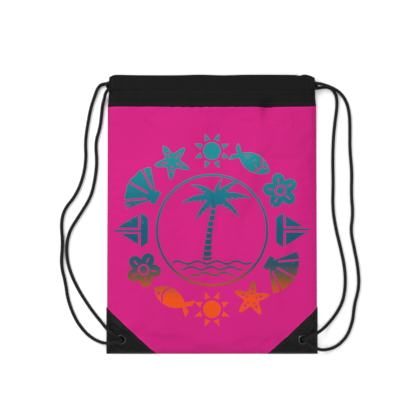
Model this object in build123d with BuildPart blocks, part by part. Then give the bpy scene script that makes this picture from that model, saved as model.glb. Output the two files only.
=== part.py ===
"""Drawstring backpack, lying on its back with its front face up. Millimetres.

Origin: centre of the bag's footprint on the surface it lies on.
+X across the front to its right, +Y towards the mouth, +Z up from the surface.
"""
from build123d import *
import math
import os

# Driving dimensions
HALF_WIDTH = 175.5          # bag centre to a side seam
BOTTOM_Y = -234.3           # bottom seam
PANEL_TOP_Y = 180.6         # printed panel ends, collar begins
FOLD_Y = 205.0              # casing stitch line, where the side seams stop
MOUTH_Y = 234.3             # rim of the mouth
FABRIC = 1.2                # panel and collar cloth, lining included
BAND_HALF_WIDTH = 174.0     # collar below its stitch line

# Casings: the two flat tunnels that the cords run through
CASING_HALF_LENGTH = 170.0
CASING_HEIGHT = 7.5
CASING_WALL = 0.8
CASING_EDGE_RADIUS = 3.4
BACK_CASING_Z = CASING_HEIGHT / 2
FRONT_CASING_Z = 16.25
FOLD_CLEARANCE = 0.3        # between the collar band and the casing that folds on it

# Corner patches
PATCH = 0.8                 # patch sheet on the front
PATCH_OVERHANG = 1.2        # patches stand this far proud of the side seams
PATCH_RISE = 79.8           # leg up the side seam
PATCH_RUN = 84.5            # leg along the bottom seam

# Eyelets
EYELET_X = 151.9
EYELET_Y = -209.5
EYELET_HOLE_RADIUS = 4.9
EYELET_BARREL_RADIUS = 5.4
EYELET_FLANGE_RADIUS = 8.5
EYELET_ROLL_RADIUS = 6.6    # barrel end, rolled out under the washer
EYELET_FLANGE = 1.2
WASHER_RADIUS = 8.0
WASHER = 0.8
ROLL = 0.5
METAL_GAP = 0.05            # barrel to washer and cloth
KNOT_RADIUS = 8.5
NECK_RADIUS = 4.6
KNOT_GAP = 0.3

# Cords
CORD_DIAMETER = 5.5
CORD_RADIUS = CORD_DIAMETER / 2
LOWER_LANE_Y = 211.0        # each casing holds two cords, side by side
UPPER_LANE_Y = 220.0
ARC_SHARE = 0.45            # of the shorter run beside a corner is given to the corner's arc
TURN_X = 170.5              # a cord turns back just past the casing's far end
STRAND_X = 156.0            # a free strand starts this far inside the casing's near end

# The front cloth stands off the back cloth. Its underside is a grid of heights: across, at these
# distances in from a side seam, and along, from the bottom seam to the casing's stitch line.
SEAM_FLAT = 3.0
CORNER_FLAT_START = 14.0
CORNER_FLAT_END = 36.0
SHOULDER = 90.0
ACROSS = [0.0, SEAM_FLAT, CORNER_FLAT_START, CORNER_FLAT_END, SHOULDER]
CORNER_HEIGHT = 10.0
FRONT_UNDERSIDE = [
    (BOTTOM_Y, [FABRIC, FABRIC, 1.25, 1.4, 1.5]),
    (BOTTOM_Y + SEAM_FLAT, [FABRIC, FABRIC, 1.25, 1.4, 1.5]),
    (BOTTOM_Y + CORNER_FLAT_START, [FABRIC, FABRIC, CORNER_HEIGHT, CORNER_HEIGHT, 10.4]),
    (BOTTOM_Y + CORNER_FLAT_END, [FABRIC, FABRIC, CORNER_HEIGHT, CORNER_HEIGHT, 12.5]),
    (BOTTOM_Y + SHOULDER, [FABRIC, FABRIC, CORNER_HEIGHT, 11.5, 15.5]),
    (0.0, [FABRIC, FABRIC, CORNER_HEIGHT, 12.5, 17.0]),
    (PANEL_TOP_Y, [FABRIC, FABRIC, 14.0, 17.0, 18.3]),
    (FOLD_Y, [FABRIC, FABRIC, 15.5, 18.4, 18.8]),
]
CUTTER_HEIGHT = 60.0

# Free strands, from the casing's end to the eyelet, down each side of the bag.
# The left cord's inner strand leaves the front casing, its outer strand the back casing.
LEFT_INNER_ROUTE = [
    (-156.0, 211.0, 16.25), (-176.0, 211.0, 16.25), (-182.4, 199.5, 10.6), (-183.0, 184.0, 4.6),
    (-185.5, 164.0, 2.8), (-189.5, 140.0, 2.8), (-196.0, 117.0, 2.8), (-193.0, 88.0, 2.8),
    (-196.8, 57.0, 2.8), (-203.5, 29.0, 2.8), (-221.0, 1.0, 2.8), (-240.5, -30.0, 2.8),
    (-244.5, -62.0, 2.8), (-240.0, -91.0, 2.8), (-226.0, -123.0, 2.8), (-207.0, -153.0, 2.8),
    (-196.0, -168.5, 2.8), (-187.5, -179.0, 5.4), (-180.5, -186.5, 12.4), (-172.0, -193.5, 19.6),
    (-162.5, -200.8, 21.6), (-156.0, -206.0, 18.0), (-152.4, -208.8, 12.9),
]
LEFT_OUTER_ROUTE = [
    (-156.0, 220.0, 3.75), (-173.0, 220.0, 3.75), (-184.5, 218.6, 2.8), (-190.5, 211.0, 2.8),
    (-194.8, 200.5, 2.8), (-202.0, 181.0, 2.8), (-208.0, 153.0, 2.8), (-213.0, 123.0, 2.8),
    (-211.3, 92.0, 2.8), (-217.0, 60.0, 2.8), (-229.5, 31.0, 2.8), (-248.0, 9.0, 2.8),
    (-253.8, -15.0, 2.8), (-250.6, -47.0, 2.8), (-253.6, -84.0, 2.8), (-245.5, -115.0, 2.8),
    (-242.0, -144.0, 2.8), (-229.5, -176.0, 2.8), (-216.0, -199.0, 2.8), (-202.0, -211.8, 2.8),
    (-191.5, -216.3, 5.6), (-182.8, -218.3, 12.6), (-173.0, -218.0, 19.6), (-162.0, -215.0, 21.6),
    (-154.8, -212.2, 18.0), (-151.0, -210.6, 12.9),
]
# The right cord's outer strand leaves the front casing, its inner strand the back casing.
RIGHT_OUTER_ROUTE = [
    (156.0, 220.0, 16.25), (177.0, 220.0, 16.25), (191.5, 217.4, 12.2), (204.0, 210.6, 5.8),
    (215.0, 201.8, 2.8), (224.5, 187.0, 2.8), (230.5, 165.0, 2.8), (231.6, 138.0, 2.8),
    (231.8, 108.0, 2.8), (235.2, 72.0, 2.8), (234.0, 34.0, 2.8), (236.8, 0.0, 2.8),
    (232.3, -27.0, 2.8), (238.5, -56.0, 2.8), (245.2, -90.0, 2.8), (247.0, -122.0, 2.8),
    (238.5, -152.0, 2.8), (236.8, -178.0, 2.8), (228.0, -203.0, 2.8), (214.5, -218.0, 2.8),
    (203.0, -224.8, 2.8), (193.5, -227.4, 5.2), (184.5, -227.8, 11.6), (175.0, -224.6, 18.4),
    (165.5, -219.2, 21.4), (158.0, -213.6, 18.0), (153.8, -210.6, 12.9),
]
RIGHT_INNER_ROUTE = [
    (156.0, 211.0, 3.75), (175.0, 211.0, 3.75), (192.0, 213.4, 2.8), (203.5, 208.5, 2.8),
    (209.3, 196.0, 2.8), (209.2, 177.0, 2.8), (206.0, 151.0, 2.8), (203.6, 122.0, 2.8),
    (202.8, 89.0, 2.8), (203.9, 51.0, 2.8), (202.3, 12.0, 2.8), (207.0, -22.0, 2.8),
    (214.8, -54.0, 2.8), (222.5, -86.0, 2.8), (224.6, -117.0, 2.8), (219.5, -146.0, 2.8),
    (206.5, -168.0, 2.8), (196.5, -180.5, 2.8), (188.5, -188.8, 5.4), (181.0, -194.6, 12.4),
    (172.0, -199.6, 19.6), (162.8, -203.6, 21.6), (156.0, -206.8, 18.0), (152.0, -208.8, 12.9),
]

PARTS_FOLDER = "parts"


def write_part(part, node):
    """Label a finished piece and write it to its own file."""
    part.label = node
    export_step(part, f"{PARTS_FOLDER}/{node}.step")


def front_cloth(lift, thickness, overhang=0.0):
    """Return a sheet that lies over the bag's whole front, raised by lift."""
    half_width = HALF_WIDTH + overhang
    with BuildPart() as cloth:
        for y, heights in FRONT_UNDERSIDE:
            stations = [half_width] + [HALF_WIDTH - distance for distance in ACROSS[1:]]
            right_half = list(zip(stations, heights))
            left_half = [(-x, z) for x, z in right_half]
            underside = [(x, z + lift) for x, z in left_half + right_half[::-1]]
            top = [(x, z + thickness) for x, z in underside[::-1]]
            with BuildSketch(Plane.XZ.offset(-y)):
                with BuildLine():
                    Polyline(*underside, *top, close=True)
                make_face()
        loft(ruled=True)
    return cloth.part


def rectangle(half_width, y_low, y_high):
    """Return a rectangle on the surface, centred across the bag."""
    with BuildSketch(Plane.XY) as outline:
        with Locations((0, (y_low + y_high) / 2)):
            Rectangle(2 * half_width, y_high - y_low)
    return outline.sketch


def patch_outline(side):
    """Return the triangle of a corner patch; side is -1 on the left, 1 on the right."""
    corner_x = side * (HALF_WIDTH + PATCH_OVERHANG)
    with BuildSketch(Plane.XY) as outline:
        with BuildLine():
            Polyline(
                (corner_x, BOTTOM_Y),
                (corner_x, BOTTOM_Y + PATCH_RISE),
                (corner_x - side * PATCH_RUN, BOTTOM_Y),
                close=True,
            )
        make_face()
    return outline.sketch


def eyelet_holes():
    """Return the two circles that the eyelets' barrels pass through."""
    with BuildSketch(Plane.XY) as holes:
        with Locations((-EYELET_X, EYELET_Y), (EYELET_X, EYELET_Y)):
            Circle(EYELET_BARREL_RADIUS + METAL_GAP)
    return holes.sketch


def casing(y_low, z_centre):
    """Return a flat tunnel across the mouth: square at its stitch line, round at the rim."""
    with BuildPart() as tunnel:
        with BuildSketch(Plane.YZ):
            with Locations(((y_low + MOUTH_Y) / 2, z_centre)):
                Rectangle(MOUTH_Y - y_low, CASING_HEIGHT)
            fillet(vertices().group_by(Axis.Y)[-1], CASING_EDGE_RADIUS)
            offset(amount=-CASING_WALL, mode=Mode.SUBTRACT)
        extrude(amount=CASING_HALF_LENGTH, both=True)
    return tunnel.part


def cord_tube(path):
    """Return the cord's round section swept along a path."""
    with BuildPart() as tube:
        with BuildSketch(Plane(origin=path @ 0, z_dir=path % 0)):
            Circle(CORD_RADIUS)
        sweep(path=path)
    return tube.part


def arc_radii(route):
    """Give each corner of a cord's route the largest arc that its two runs leave room for."""
    radii = []
    for before, corner, after in zip(route, route[1:], route[2:]):
        run_in = Vector(*corner) - Vector(*before)
        run_out = Vector(*after) - Vector(*corner)
        half_turn = math.radians(run_in.get_angle(run_out)) / 2
        radii.append(ARC_SHARE * min(run_in.length, run_out.length) / math.tan(half_turn))
    return radii


def report_cord(name, part, path, radii):
    """Print a cord's length, how its volume compares with its section times length, and its arcs."""
    ratio = part.volume / (math.pi * CORD_RADIUS**2 * path.length)
    print(f"{name}: length {path.length:.1f}, volume ratio {ratio:.4f}, tightest arc {min(radii):.1f}")
    print("  radii", [round(radius, 1) for radius in radii])


os.makedirs(PARTS_FOLDER, exist_ok=True)

# Printed front panel
panel_cloth = front_cloth(0.0, FABRIC)
with BuildPart() as front_panel:
    add(panel_cloth)
    extrude(rectangle(HALF_WIDTH, BOTTOM_Y, PANEL_TOP_Y), amount=CUTTER_HEIGHT, mode=Mode.INTERSECT)
    extrude(eyelet_holes(), amount=CUTTER_HEIGHT, mode=Mode.SUBTRACT)
write_part(front_panel.part, "front_panel")

# Plain back panel, its two lower corners cut away along the patches' edges
with BuildPart() as back_panel:
    extrude(rectangle(HALF_WIDTH, BOTTOM_Y, PANEL_TOP_Y), amount=FABRIC)
    for side in (-1, 1):
        extrude(patch_outline(side), amount=FABRIC, mode=Mode.SUBTRACT)
write_part(back_panel.part, "back_panel")

# Collar bands, below the casings
with BuildPart() as front_band:
    add(panel_cloth)
    extrude(rectangle(BAND_HALF_WIDTH, PANEL_TOP_Y, FOLD_Y), amount=CUTTER_HEIGHT, mode=Mode.INTERSECT)
write_part(front_band.part, "front_band")

with BuildPart() as back_band:
    extrude(rectangle(BAND_HALF_WIDTH, PANEL_TOP_Y, FOLD_Y), amount=FABRIC)
write_part(back_band.part, "back_band")

# Casings
write_part(casing(FOLD_Y + FOLD_CLEARANCE, FRONT_CASING_Z), "front_casing")
write_part(casing(FOLD_Y, BACK_CASING_Z), "back_casing")

# Corner patches, eyelets and knots, one set to each side
patch_cloth = front_cloth(FABRIC, PATCH, PATCH_OVERHANG)
patch_top = CORNER_HEIGHT + FABRIC + PATCH
flange_top = patch_top + EYELET_FLANGE
washer_underside = CORNER_HEIGHT - WASHER
roll_underside = washer_underside - ROLL
knot_top = roll_underside - KNOT_GAP
knot_bottom = FABRIC + KNOT_GAP
for side, side_name in ((-1, "left"), (1, "right")):
    eyelet_x = side * EYELET_X
    eyelet_axis = Axis((eyelet_x, EYELET_Y, 0), (0, 0, 1))
    eyelet_plane = Plane(origin=(eyelet_x, EYELET_Y, 0), x_dir=(1, 0, 0), z_dir=(0, -1, 0))

    with BuildPart() as front_patch:
        add(patch_cloth)
        extrude(patch_outline(side), amount=CUTTER_HEIGHT, mode=Mode.INTERSECT)
        extrude(eyelet_holes(), amount=CUTTER_HEIGHT, mode=Mode.SUBTRACT)
    write_part(front_patch.part, f"front_{side_name}_patch")

    with BuildPart() as back_patch:
        extrude(patch_outline(side), amount=FABRIC)
    write_part(back_patch.part, f"back_{side_name}_patch")

    with BuildPart() as eyelet:
        with BuildSketch(eyelet_plane):
            with BuildLine():
                Polyline(
                    (EYELET_HOLE_RADIUS, patch_top),
                    (EYELET_HOLE_RADIUS, roll_underside),
                    (EYELET_ROLL_RADIUS, roll_underside),
                    (EYELET_ROLL_RADIUS, washer_underside),
                    (EYELET_BARREL_RADIUS, washer_underside),
                    (EYELET_BARREL_RADIUS, patch_top),
                    (EYELET_FLANGE_RADIUS, patch_top),
                )
                ThreePointArc(
                    (EYELET_FLANGE_RADIUS, patch_top),
                    ((EYELET_HOLE_RADIUS + EYELET_FLANGE_RADIUS) / 2, flange_top),
                    (EYELET_HOLE_RADIUS, patch_top),
                )
            make_face()
        revolve(axis=eyelet_axis)
    write_part(eyelet.part, f"{side_name}_eyelet")

    with BuildPart() as washer:
        with BuildSketch(Plane.XY.offset(washer_underside)):
            with Locations((eyelet_x, EYELET_Y)):
                Circle(WASHER_RADIUS)
                Circle(EYELET_BARREL_RADIUS + METAL_GAP, mode=Mode.SUBTRACT)
        extrude(amount=WASHER)
    write_part(washer.part, f"{side_name}_eyelet_washer")

    with BuildPart() as knot:
        with BuildSketch(eyelet_plane):
            with BuildLine():
                Line((0, knot_bottom), (NECK_RADIUS, knot_bottom))
                ThreePointArc(
                    (NECK_RADIUS, knot_bottom),
                    (KNOT_RADIUS, (knot_bottom + knot_top) / 2),
                    (NECK_RADIUS, knot_top),
                )
                Polyline(
                    (NECK_RADIUS, knot_top),
                    (NECK_RADIUS, flange_top),
                    (0, flange_top),
                    (0, knot_bottom),
                )
            make_face()
        revolve(axis=eyelet_axis)
    write_part(knot.part, f"{side_name}_knot")

# Cords. Each one leaves its own side's end of both casings, and turns back on itself at the far end.
for side, side_name, front_lane_y, back_lane_y in (
    (-1, "left", LOWER_LANE_Y, UPPER_LANE_Y),
    (1, "right", UPPER_LANE_Y, LOWER_LANE_Y),
):
    for layer_name, lane_y, lane_z in (
        ("front", front_lane_y, FRONT_CASING_Z),
        ("back", back_lane_y, BACK_CASING_Z),
    ):
        with BuildPart() as cord_run:
            with BuildSketch(Plane.YZ.offset(side * STRAND_X)):
                with Locations((lane_y, lane_z)):
                    Circle(CORD_RADIUS)
            extrude(amount=-side * (STRAND_X + TURN_X))
        write_part(cord_run.part, f"{side_name}_cord_{layer_name}_run")

    turn_x = -side * TURN_X
    turn_radius = math.hypot(front_lane_y - back_lane_y, FRONT_CASING_Z - BACK_CASING_Z) / 2
    middle_y = (front_lane_y + back_lane_y) / 2
    middle_z = (FRONT_CASING_Z + BACK_CASING_Z) / 2
    with BuildLine() as turn_path:
        ThreePointArc(
            (turn_x, front_lane_y, FRONT_CASING_Z),
            (turn_x - side * turn_radius, middle_y, middle_z),
            (turn_x, back_lane_y, BACK_CASING_Z),
        )
    write_part(cord_tube(turn_path.wire()), f"{side_name}_cord_turn")

for node, route in (
    ("left_inner_strand", LEFT_INNER_ROUTE),
    ("left_outer_strand", LEFT_OUTER_ROUTE),
    ("right_outer_strand", RIGHT_OUTER_ROUTE),
    ("right_inner_strand", RIGHT_INNER_ROUTE),
):
    corner_radii = arc_radii(route)
    with BuildLine() as strand_path:
        FilletPolyline(*route, radius=corner_radii)
    strand = cord_tube(strand_path.wire())
    write_part(strand, node)
    report_cord(node, strand, strand_path.wire(), corner_radii)
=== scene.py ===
"""Looks of a drawstring backpack lying on its back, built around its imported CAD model. Metres.

The cloth, collar, corner patches, eyelets, cords and stitches are each made by their own section
below. +Z is up out of the printed front, +Y runs towards the mouth, +X to the right.
"""

import math

import bmesh
import bpy
import numpy as np
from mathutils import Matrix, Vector
from mathutils.bvhtree import BVHTree


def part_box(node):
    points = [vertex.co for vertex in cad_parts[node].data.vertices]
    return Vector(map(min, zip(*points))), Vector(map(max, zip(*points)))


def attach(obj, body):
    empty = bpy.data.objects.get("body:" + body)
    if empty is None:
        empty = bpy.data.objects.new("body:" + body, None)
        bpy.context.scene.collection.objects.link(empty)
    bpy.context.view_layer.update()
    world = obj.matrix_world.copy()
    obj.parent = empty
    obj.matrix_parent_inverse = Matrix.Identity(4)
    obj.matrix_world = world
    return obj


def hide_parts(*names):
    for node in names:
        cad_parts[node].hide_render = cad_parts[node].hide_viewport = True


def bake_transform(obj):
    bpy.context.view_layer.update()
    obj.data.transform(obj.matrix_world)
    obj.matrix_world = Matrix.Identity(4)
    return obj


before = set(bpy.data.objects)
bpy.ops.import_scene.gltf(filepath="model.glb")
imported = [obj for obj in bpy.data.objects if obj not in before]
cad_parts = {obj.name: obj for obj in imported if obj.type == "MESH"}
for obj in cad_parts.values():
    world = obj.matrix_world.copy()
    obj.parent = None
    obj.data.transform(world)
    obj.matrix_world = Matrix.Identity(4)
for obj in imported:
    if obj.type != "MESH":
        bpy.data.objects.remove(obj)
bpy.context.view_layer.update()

MM = 0.001

# Places that the CAD model fixes
PANEL_LOW, PANEL_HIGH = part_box("front_panel")
_, BAND_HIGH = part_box("front_band")
CASING_LOW, CASING_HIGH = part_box("front_casing")
BACK_CASING_LOW, BACK_CASING_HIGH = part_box("back_casing")
PATCH_LOW, PATCH_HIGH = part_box("front_left_patch")
BOTTOM_Y = PANEL_LOW[1]
SEAM_Y = PANEL_HIGH[1]
FOLD_Y = BAND_HIGH[1]
MOUTH_Y = CASING_HIGH[1]
CASING_HALF = CASING_HIGH[0]
BAND_HALF = BAND_HIGH[0]
PATCH_TRIM = 1.2 * MM       # a patch's sheet stops this far below its solid's top corner
PATCH_RISE = PATCH_HIGH[1] - PATCH_LOW[1] - PATCH_TRIM
PATCH_RUN = PATCH_HIGH[0] - PATCH_LOW[0]
EYELET_LOW, EYELET_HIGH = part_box("right_eyelet")
EYELET_X = (EYELET_LOW[0] + EYELET_HIGH[0]) / 2
EYELET_Y = (EYELET_LOW[1] + EYELET_HIGH[1]) / 2
EYELET_RADIUS = (EYELET_HIGH[0] - EYELET_LOW[0]) / 2
EYELETS = [(-EYELET_X, EYELET_Y), (EYELET_X, EYELET_Y)]
CLOTH_CUT = 7.6 * MM        # the front cloth is cut away this far round an eyelet
PATCH_CUT = 6.3 * MM        # and the patch a little less, both under its flange

# Cloth
CLOTH = 0.8 * MM
HALF_WIDTH_TOP = 175.4 * MM
HALF_WIDTH_BOTTOM = 176.8 * MM
RIM_Z = 1.7 * MM            # top of the front cloth where it meets the side seams
GRID = 2.5 * MM

ON_FLOOR = 0.05 * MM        # nothing lies lower than this
NEAR_RIM = np.array([0.5, 1.2]) * MM   # extra rows of cloth beside a seam
EDGE_RISE = 9.4 * MM        # the front stands off the back by this much near the seams
CROWN = 7.0 * MM            # and by this much more in the middle
MOUTH_RISE = 15.0 * MM
MOUTH_CROWN = 2.6 * MM
EDGE_REACH = 8 * MM         # the four rises above are nearly two thirds done this far in
CROWN_REACH = 50 * MM
MOUTH_REACH = 5 * MM
MOUTH_CROWN_REACH = 40 * MM
MOUTH_FROM_Y = 90 * MM      # the pillow starts to change into the mouth's shape here
SLACK_REACH = 25 * MM       # the slack's ripples fade this near the edges
RIPPLES = [                 # height, wave across, wave along and phase of the slack's ripples
    (0.7 * MM, 31 * MM, 44 * MM, 0.6),
    (0.6 * MM, -23 * MM, 37 * MM, 2.1),
]
PUCKER = 0.22 * MM          # height of the ripples that the sewing draws up
RIM_DROP = 0.75 * MM        # the cloth turns down by this much at its very edge
EYELET_BED_Z = 11.2 * MM    # the corner is flat here under an eyelet
CREASES = [                 # start, end, width and depth of soft valleys in the front
    ((0.092, 0.180), (0.095, 0.150), 0.0105, 0.0112),
    ((0.020, 0.178), (0.030, 0.150), 0.008, 0.0008),
    ((-0.118, 0.176), (-0.100, 0.136), 0.010, 0.0009),
    ((0.050, 0.062), (0.022, -0.056), 0.016, 0.0016),
    ((-0.028, -0.094), (-0.056, -0.152), 0.014, 0.0016),
    ((-0.100, -0.158), (-0.060, -0.110), 0.014, 0.0012),
    ((0.104, -0.160), (0.070, -0.112), 0.013, 0.0011),
    ((-0.150, 0.020), (-0.070, -0.010), 0.016, 0.0009),
]
SETTLE_STEPS = 24           # frames of cloth simulation

# Collar
SEAM_TAPER = 1.3 * MM       # each side narrows by this much from the seam to the casing
MOUTH_TAPER = 1.0 * MM      # and by this much again at the mouth
RIM_ROUNDING = 4.0 * MM     # the rim falls back by this much at its ends
RIM_WANDER = 0.5 * MM
RIM_DENTS = [               # place, reach and depth of dents near the rim's right end; a bump's is negative
    (146 * MM, 3.5 * MM, 1.1 * MM),
    (155 * MM, 5.0 * MM, -1.2 * MM),
]
GATHER = 0.42 * MM          # height of the collar's upright ripples
CASING_OPENS = 7 * MM       # a casing is fully open this far above its stitches

# Corner patches
PATCH_SHEET = 0.8 * MM
PATCH_LIFT = 0.85 * MM      # a patch's upper face stands this far above the cloth's
PATCH_PROUD = 0.8 * MM      # and its outer edge this far outside the side seam
FOLD_LENGTH = math.hypot(PATCH_RUN, PATCH_RISE)
FOLD_NORMAL = (PATCH_RISE / FOLD_LENGTH, -PATCH_RUN / FOLD_LENGTH)  # across a fold, towards the corner
FOLD_AWAY = (                # how far a fold lies from the frame's origin
    (HALF_WIDTH_BOTTOM + PATCH_PROUD - PATCH_RUN) * FOLD_NORMAL[0] + BOTTOM_Y * FOLD_NORMAL[1]
)
SEAM_HIGHLIGHT_WIDTH = 3.6 * MM         # width of the painted highlight, the paler cloth beside the seams

# Badge, in plain millimetres
BADGE_CENTRE = (0.0, -26.0)
BADGE_RADIUS = 132.0        # from its centre to the middles of its icons
BADGE_CELL = 1.2
ICON_SCALE = 1.28
ROUNDEL_RADIUS = 92.0
ROUNDEL_LINE = 4.0
PALM_FOOT = (-8.0, -50.0)   # from the badge's centre
PALM_HEIGHT = 104.0
WAVE_ROWS = 3
WAVE_GAP = 9.5
BADGE_REACH = BADGE_RADIUS + 28 * ICON_SCALE    # from its centre past its icons' outer ends
DYE_PROUD = 0.12 * MM

# Cords
PLY_GROOVE = 0.66           # share of the radius that the grooves between plies leave
STRAND_RADIUS = 3.1 * MM    # out to the crowns of the plies of a loose strand
HELD_RADIUS = 2.85 * MM     # and where a casing presses on the cord
CORD_TWIST_PITCH = 11 * MM  # one full turn of its three plies
CORD_RING_STEP = 1.1 * MM
CORD_SIDES = 24
LOWER_LANE_Y = 211 * MM
UPPER_LANE_Y = 220 * MM
FRONT_LANE_Z = (CASING_LOW[2] + CASING_HIGH[2]) / 2
BACK_LANE_Z = (BACK_CASING_LOW[2] + BACK_CASING_HIGH[2]) / 2
STRAND_X = 156 * MM         # a free strand starts this far inside its casing
TURN_X = 167.5 * MM         # a cord turns back just past a casing's far end
TURN_RADIUS = 7.7 * MM
LIFT_NONE = 38 * MM         # a front strand is split into two pieces this far along it

# Free strands, from inside the casing's end to the eyelet
LEFT_INNER_ROUTE = [
    (-0.156, 0.211, 0.01625), (-0.172, 0.2108, 0.01625), (-0.1782, 0.2035, 0.0118),
    (-0.1806, 0.1945, 0.0062), (-0.184, 0.184, 0.0032), (-0.1857, 0.165, 0.0032),
    (-0.1882, 0.145, 0.0032), (-0.196, 0.12, 0.0032), (-0.193, 0.088, 0.0032),
    (-0.1968, 0.057, 0.0032), (-0.2035, 0.029, 0.0032), (-0.221, 0.001, 0.0032),
    (-0.2412, -0.03, 0.0032), (-0.2452, -0.062, 0.0032), (-0.2405, -0.091, 0.0032),
    (-0.2265, -0.123, 0.0032), (-0.2075, -0.153, 0.0032), (-0.196, -0.1685, 0.0032),
    (-0.187, -0.1785, 0.0056), (-0.18, -0.1862, 0.0124), (-0.172, -0.1935, 0.0196),
    (-0.1625, -0.2008, 0.0216), (-0.156, -0.206, 0.018), (-0.1524, -0.2088, 0.0129),
    (-0.1518, -0.2092, 0.0085),
]
LEFT_OUTER_ROUTE = [
    (-0.156, 0.22, 0.00375), (-0.174, 0.22, 0.00375), (-0.1864, 0.2188, 0.0032),
    (-0.1928, 0.211, 0.0032), (-0.1965, 0.2, 0.0032), (-0.2032, 0.181, 0.0032),
    (-0.2086, 0.153, 0.0032), (-0.213, 0.123, 0.0032), (-0.2113, 0.092, 0.0032),
    (-0.217, 0.06, 0.0032), (-0.2295, 0.031, 0.0032), (-0.248, 0.009, 0.0032),
    (-0.2538, -0.015, 0.0032), (-0.2506, -0.047, 0.0032), (-0.254, -0.084, 0.0032),
    (-0.246, -0.115, 0.0032), (-0.2422, -0.144, 0.0032), (-0.2298, -0.1755, 0.0032),
    (-0.2155, -0.1955, 0.0032), (-0.2025, -0.207, 0.0032), (-0.1915, -0.2122, 0.0056),
    (-0.1828, -0.2143, 0.0126), (-0.173, -0.2145, 0.0196), (-0.162, -0.213, 0.0216),
    (-0.1548, -0.2114, 0.018), (-0.151, -0.2104, 0.0129), (-0.151, -0.21, 0.0085),
]
RIGHT_OUTER_ROUTE = [
    (0.156, 0.22, 0.01625), (0.175, 0.2195, 0.01625), (0.1895, 0.2162, 0.0138),
    (0.2045, 0.2106, 0.0102), (0.217, 0.2028, 0.0052), (0.2268, 0.188, 0.0032),
    (0.2315, 0.166, 0.0032), (0.2318, 0.138, 0.0032), (0.2316, 0.108, 0.0032),
    (0.2352, 0.072, 0.0032), (0.234, 0.034, 0.0032), (0.237, 0.0, 0.0032),
    (0.2328, -0.027, 0.0032), (0.2388, -0.056, 0.0032), (0.2455, -0.09, 0.0032),
    (0.2474, -0.122, 0.0032), (0.239, -0.152, 0.0032), (0.2368, -0.178, 0.0032),
    (0.228, -0.203, 0.0032), (0.2145, -0.218, 0.0032), (0.203, -0.2245, 0.0032),
    (0.1935, -0.2268, 0.0054), (0.1845, -0.227, 0.0116), (0.175, -0.224, 0.0184),
    (0.1655, -0.2188, 0.0214), (0.158, -0.2134, 0.018), (0.1538, -0.2106, 0.0129),
    (0.1532, -0.2102, 0.0085),
]
RIGHT_INNER_ROUTE = [
    (0.156, 0.211, 0.00375), (0.172, 0.2112, 0.00375), (0.182, 0.2128, 0.0032),
    (0.194, 0.2148, 0.0032), (0.2045, 0.2088, 0.0032), (0.21, 0.196, 0.0032),
    (0.2098, 0.177, 0.0032), (0.206, 0.151, 0.0032), (0.2036, 0.122, 0.0032),
    (0.2028, 0.089, 0.0032), (0.2037, 0.051, 0.0032), (0.2025, 0.012, 0.0032),
    (0.2076, -0.022, 0.0032), (0.2155, -0.054, 0.0032), (0.2225, -0.086, 0.0032),
    (0.2246, -0.117, 0.0032), (0.2202, -0.146, 0.0032), (0.208, -0.168, 0.0032),
    (0.198, -0.1805, 0.0032), (0.19, -0.1888, 0.0056), (0.182, -0.1946, 0.0124),
    (0.172, -0.1996, 0.0196), (0.1628, -0.2036, 0.0216), (0.156, -0.2068, 0.018),
    (0.152, -0.2088, 0.0129), (0.1517, -0.2092, 0.0085),
]


# ---------------------------------------------------------------- helpers

def new_piece(name, points, faces, material, smooth=True):
    """Make a mesh object from points and faces, and link it to the scene."""
    mesh = bpy.data.meshes.new(name)
    mesh.from_pydata([tuple(p) for p in points], [], faces)
    mesh.validate()
    mesh.polygons.foreach_set("use_smooth", [smooth] * len(mesh.polygons))
    mesh.materials.append(material)
    piece = bpy.data.objects.new(name, mesh)
    bpy.context.collection.objects.link(piece)
    return piece


def smoothstep(value, low, high):
    """Rise smoothly from 0 at low to 1 at high."""
    share = np.clip((value - low) / (high - low), 0.0, 1.0)
    return share * share * (3 - 2 * share)


def rise(distance, reach):
    """Climb from 0 at a seam towards 1, nearly two thirds of the way up at reach."""
    return 1 - np.exp(-np.maximum(distance, 0.0) / reach)


def lengths_along(line):
    """Return how far along a line each of its points lies."""
    steps = np.linalg.norm(np.diff(line, axis=0), axis=1)
    return np.concatenate([[0], np.cumsum(steps)])


def points_along(line, distances):
    """Return the points that lie at some distances along a line."""
    along = lengths_along(line)
    return np.stack([np.interp(distances, along, line[:, axis]) for axis in range(3)], axis=1)


def tube_faces(rings, sides, first=0):
    """Return the faces of a closed tube whose rings of points are numbered from first."""
    faces = []
    for ring in range(rings - 1):
        for corner in range(sides):
            after = (corner + 1) % sides
            low, high = first + ring * sides, first + (ring + 1) * sides
            faces.append((low + corner, low + after, high + after, high + corner))
    last = first + (rings - 1) * sides
    faces.append(tuple(range(first, first + sides))[::-1])
    faces.append(tuple(range(last, last + sides)))
    return faces


# ---------------------------------------------------------------- materials

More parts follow.
